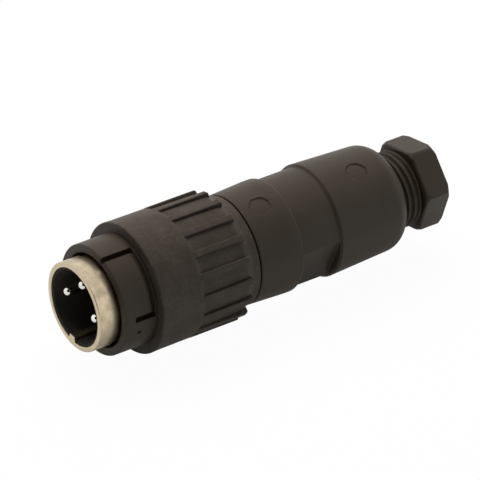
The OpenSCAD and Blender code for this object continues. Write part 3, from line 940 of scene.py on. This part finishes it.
@dataclass
class CableGland:
    """The hexagon nut with its threaded shank, and the seal and rings that it presses on the cable."""

    thread_r: float = 5.75
    thread_depth: float = 0.45
    thread_pitch: float = 1.0
    thread_flank: float = 0.6
    thread_crest: float = 0.1
    rings_per_turn: int = 12
    columns: int = 240
    hex_af: float = 12.0
    hex_h: float = 4.1
    hex_angle: float = 19.6
    front_bevel: float = 0.35
    front_bevel_len: float = 0.7
    rear_bevel: float = 0.5
    rear_bevel_len: float = 0.45
    corner_r: float = 0.5
    front_edge: float = 0.35
    rear_edge: float = 0.12
    cable_r: float = 3.6
    mouth: float = 0.9
    pocket_r: float = 4.7
    pocket_len: float = 4.0
    throat_len: float = 1.1
    bore_setback: float = 2.0
    edge_turns: tuple[float, ...] = (0, 20, 40, 60, 75, 90)
    front_parts: tuple[float, ...] = (0.5, 0.6, 0.7, 0.8, 0.9, 1)
    rear_parts: tuple[float, ...] = (1, 0.85, 0.7, 0.55, 0.4, 0.3)

    def hexagon(self, angle: np.ndarray, inset: float) -> np.ndarray:
        """Radius of the rounded hexagon.

        Args:
            angle: Angle about the axis.
            inset: How far the hexagon is drawn in all round.

        Returns:
            The radius at each angle.
        """
        half = self.hex_af / 2 - inset
        off = np.radians((angle - self.hex_angle + HEX_HALF_DEG) % (2 * HEX_HALF_DEG) - HEX_HALF_DEG)
        turn = math.radians(HEX_HALF_DEG)
        flat = half / np.cos(turn - np.abs(off))
        centre = (half - self.corner_r) / math.cos(turn)
        across = self.corner_r ** 2 - (centre * np.sin(off)) ** 2
        corner = centre * np.cos(off) + np.sqrt(np.maximum(across, 0))
        tangent = turn - math.atan(centre * math.sin(turn) / half)
        return np.where(np.abs(off) < tangent, corner, flat)

    def hex_ring(self, angle: np.ndarray, depth: float) -> np.ndarray:
        """Radius of the nut's head with its bevel and edges.

        Args:
            angle: Angle about the axis.
            depth: Distance behind the head's front.

        Returns:
            The radius at each angle.
        """
        left = self.hex_h - depth
        inset = round_in(depth, self.front_edge) + round_in(left, self.rear_edge)
        short = self.front_bevel * max(0.0, 1 - depth / self.front_bevel_len)
        short += self.rear_bevel * max(0.0, 1 - left / self.rear_bevel_len)
        corner = self.hexagon(np.array(self.hex_angle), 0.0)
        return np.minimum(self.hexagon(angle, inset), corner - short)

    def thread(self, x: np.ndarray, angle: np.ndarray, radius: np.ndarray) -> np.ndarray:
        """Winds the screw thread on the shank.

        Args:
            x: Place along the axis.
            angle: Angle about the axis.
            radius: The thread's crest radius.

        Returns:
            The radius with the thread.
        """
        phase = (x / self.thread_pitch - angle / 360) % 1
        groove = np.clip(np.abs(phase - 0.5) * 2 / self.thread_flank - self.thread_crest, 0, 1)
        return radius - self.thread_depth * smooth_step(groove)

    def build_nut(self, material: bpy.types.Material) -> None:
        """Builds the gland nut.

        Args:
            material: The nut's material.
        """
        x0, x1, _ = span("gland_nut")
        x_hex, x_pocket = x1 - self.hex_h, x0 + self.pocket_len
        skin = TurnedSkin(even_angles(self.columns))
        root = self.thread_r - self.thread_depth
        skin.add(x0, self.pocket_r)
        skin.add(x0, root)
        steps = round((x_hex - x0) / self.thread_pitch * self.rings_per_turn)
        shank = [(x0 + (x_hex - x0) * i / steps, self.thread_r) for i in range(1, steps)]
        skin.add_outline(shank, self.thread)
        skin.add(x_hex, root)
        bends = [1 - math.cos(math.radians(turn)) for turn in self.edge_turns]
        front = [self.front_edge * bend for bend in bends]
        front += [self.front_bevel_len * part for part in self.front_parts]
        rear = [self.hex_h - self.rear_bevel_len * part for part in self.rear_parts]
        rear += [self.hex_h - self.rear_edge * bend for bend in reversed(bends)]
        for depth in front + rear:
            skin.add(x_hex + depth, self.hex_ring(skin.angle, depth))
        skin.add_outline(rounded([
            (x1, self.thread_r, 0), (x1, self.cable_r, self.mouth),
            (x_hex - self.bore_setback, self.cable_r, 0), (x_pocket + self.throat_len, self.cable_r, 0),
            (x_pocket, self.pocket_r, 0)])[1:])
        fit_piece(skin.build("nut_moulded", material), Body.GLAND, "gland_nut")

    def build(self) -> None:
        """Builds and dresses the gland."""
        self.build_nut(shared(SATIN_NYLON))
        flex_node("cable_seal", "seal_bush", Body.GLAND_CARRIER, shared(SEAL_RUBBER))
        for node in ("seal_washer", "pinch_ring", "slip_washer"):
            dress_node(node, shared(SLIP_PLASTIC))


@dataclass
class Lamp:
    """A soft rectangular lamp that looks at the plug, with its place and size in metres."""

    name: str
    place: tuple[float, float, float]
    size: float
    power: float
    colour: str = WHITE

    def build(self, target: Vector) -> None:
        """Makes the lamp.

        Args:
            target: The point that it looks at, in metres.
        """
        data = bpy.data.lights.new(self.name, "AREA")
        data.size = self.size
        data.energy = self.power
        data.color = linear(self.colour)[:3]
        lamp = bpy.data.objects.new(self.name, data)
        lamp.location = target + Vector(self.place)
        lamp.rotation_euler = (target - lamp.location).to_track_quat("-Z", "Y").to_euler()
        lamp.visible_glossy = False
        bpy.context.scene.collection.objects.link(lamp)


@dataclass
class Studio:
    """A white table, a white room, a soft lamp, an unlit backdrop that only gloss shows and that paints
    shade into reflections, and the camera.

    The camera's sizes are in millimetres and pixels, and those of the table and the backdrop in metres.
    """

    aim: tuple[float, float, float] = (29.0, 0.0, 0.0)
    azimuth: float = -35.0
    elevation: float = 31.85
    distance: float = 740.0
    frame_px: float = 480.0
    focal_px: float = 5230.0
    sensor_mm: float = 36.0
    near_m: float = 0.01
    far_m: float = 100.0
    aim_px: tuple[float, float] = (245.15, 244.1)
    room_light: float = 0.08
    shadow_part: float = 0.03
    mirrored_shadow_part: float = 0.65
    floor_half: float = 3.0
    floor_colour: str = "#f2f2f0"
    # Painted shade in reflections: a dark disc that only gloss rays see, standing for the dark side of the
    # room behind the camera
    dark_r: float = 0.6
    dark_at: float = 0.8
    dark_sides: int = 48
    dark_colour: str = "#161616"
    lamps: list[Lamp] = field(default_factory=lambda: [
        Lamp("top_lamp", place=(0.1, 0.34, 0.64), size=0.7, power=7.2),
    ])

    def build_camera(self) -> None:
        """Sets the camera up as the photograph's was."""
        a, e = math.radians(self.azimuth), math.radians(self.elevation)
        back = Vector((math.sin(a) * math.cos(e), -math.cos(a) * math.cos(e), math.sin(e)))
        right = Vector((math.cos(a), math.sin(a), 0))
        up = back.cross(right)
        px_to_mm = self.distance / self.focal_px
        off_right = (self.aim_px[0] - self.frame_px / 2) * px_to_mm
        off_down = (self.aim_px[1] - self.frame_px / 2) * px_to_mm
        looked_at = Vector(self.aim) - right * off_right + up * off_down
        data = bpy.data.cameras.new("camera")
        data.sensor_width = self.sensor_mm
        data.lens = self.sensor_mm * self.focal_px / self.frame_px
        data.clip_start = self.near_m
        data.clip_end = self.far_m
        camera = bpy.data.objects.new("camera", data)
        axes = Matrix((right, up, back)).transposed().to_4x4()
        camera.matrix_world = Matrix.Translation((looked_at + back * self.distance) * MM) @ axes
        bpy.context.scene.collection.objects.link(camera)
        bpy.context.scene.camera = camera
        self.build_dark_side(Matrix.Translation(Vector(self.aim) * MM + back * self.dark_at) @ axes)

    def build_dark_side(self, place: Matrix) -> None:
        """Makes the unlit backdrop behind the camera, which only gloss shows: painted shade that darkens
        reflections, standing for the room's dark side.

        Args:
            place: The backdrop's place, with +Z towards the back.
        """
        material, tree, output = new_material("backdrop_unlit")
        cloth = add_node(tree, "ShaderNodeBsdfDiffuse", {"Color": linear(self.dark_colour)})
        tree.links.new(cloth.outputs["BSDF"], output.inputs["Surface"])
        mesh = bpy.data.meshes.new("backdrop")
        turns = np.radians(even_angles(self.dark_sides))
        points = [(self.dark_r * math.cos(t), self.dark_r * math.sin(t), 0.0) for t in turns]
        mesh.from_pydata(points, [], [tuple(range(len(points)))])
        mesh.materials.append(material)
        backdrop = bpy.data.objects.new("backdrop", mesh)
        backdrop.matrix_world = place
        backdrop.visible_camera = False
        backdrop.visible_diffuse = False
        backdrop.visible_shadow = False
        bpy.context.scene.collection.objects.link(backdrop)

    def seen_directly(self, tree: bpy.types.NodeTree) -> Any:
        """Adds the test for rays that show the background.

        Args:
            tree: The node tree that gets the test.

        Returns:
            A socket that is 1 for camera, glossy and transmission rays.
        """
        path = add_node(tree, "ShaderNodeLightPath")
        first = add_node(tree, "ShaderNodeMath", {
            0: path.outputs["Is Camera Ray"], 1: path.outputs["Is Glossy Ray"]}, operation="MAXIMUM")
        both = add_node(tree, "ShaderNodeMath", {
            0: first.outputs[0], 1: path.outputs["Is Transmission Ray"]}, operation="MAXIMUM")
        return both.outputs[0]

    def build_world(self) -> None:
        """Makes the white room."""
        world = bpy.data.worlds.new("white_room")
        world.use_nodes = True
        tree = world.node_tree
        tree.nodes.clear()
        strength = add_node(tree, "ShaderNodeMapRange", {
            "Value": self.seen_directly(tree), "To Min": self.room_light, "To Max": 1.0})
        light = add_node(tree, "ShaderNodeBackground", {
            "Color": linear(WHITE), "Strength": strength.outputs["Result"]})
        output = add_node(tree, "ShaderNodeOutputWorld")
        tree.links.new(light.outputs["Background"], output.inputs["Surface"])
        bpy.context.scene.world = world

    def build_floor(self) -> None:
        """Makes the white table under the plug."""
        material, tree, output = new_material("table_white")
        paint = add_node(tree, "ShaderNodeBsdfDiffuse", {"Color": linear(self.floor_colour)})
        glow = add_node(tree, "ShaderNodeEmission", {"Color": linear(WHITE), "Strength": 1.0})
        white = add_node(tree, "ShaderNodeMapRange", {
            "Value": self.seen_directly(tree), "To Min": 0.0, "To Max": 1 - self.mirrored_shadow_part})
        camera = add_node(tree, "ShaderNodeLightPath").outputs["Is Camera Ray"]
        share = add_node(tree, "ShaderNodeMapRange", {
            "Value": camera, "To Min": white.outputs["Result"], "To Max": 1 - self.shadow_part})
        mixed = add_node(tree, "ShaderNodeMixShader", {
            0: share.outputs["Result"], 1: paint.outputs["BSDF"], 2: glow.outputs["Emission"]})
        tree.links.new(mixed.outputs["Shader"], output.inputs["Surface"])
        mesh = bpy.data.meshes.new("table")
        h, z = self.floor_half, CAD_BOX[0].z
        mesh.from_pydata([(-h, -h, z), (h, -h, z), (h, h, z), (-h, h, z)], [], [(0, 1, 2, 3)])
        mesh.materials.append(material)
        table = bpy.data.objects.new("table", mesh)
        bpy.context.scene.collection.objects.link(table)

    def build(self) -> None:
        """Sets the studio up."""
        bpy.context.scene.view_settings.view_transform = "Standard"
        self.build_camera()
        self.build_world()
        self.build_floor()
        for lamp in self.lamps:
            lamp.build(Vector(self.aim) * MM)


def main() -> None:
    """Builds the plug and its studio."""
    logging.basicConfig(level=logging.INFO, format="%(name)s: %(message)s")
    Studio().build()
    for assembly in (ContactSet(), Coupling(), BackShell(), CableGland()):
        assembly.build()
        LOG.info("%s is built", type(assembly).__name__)


if __name__ == "__main__":
    main()
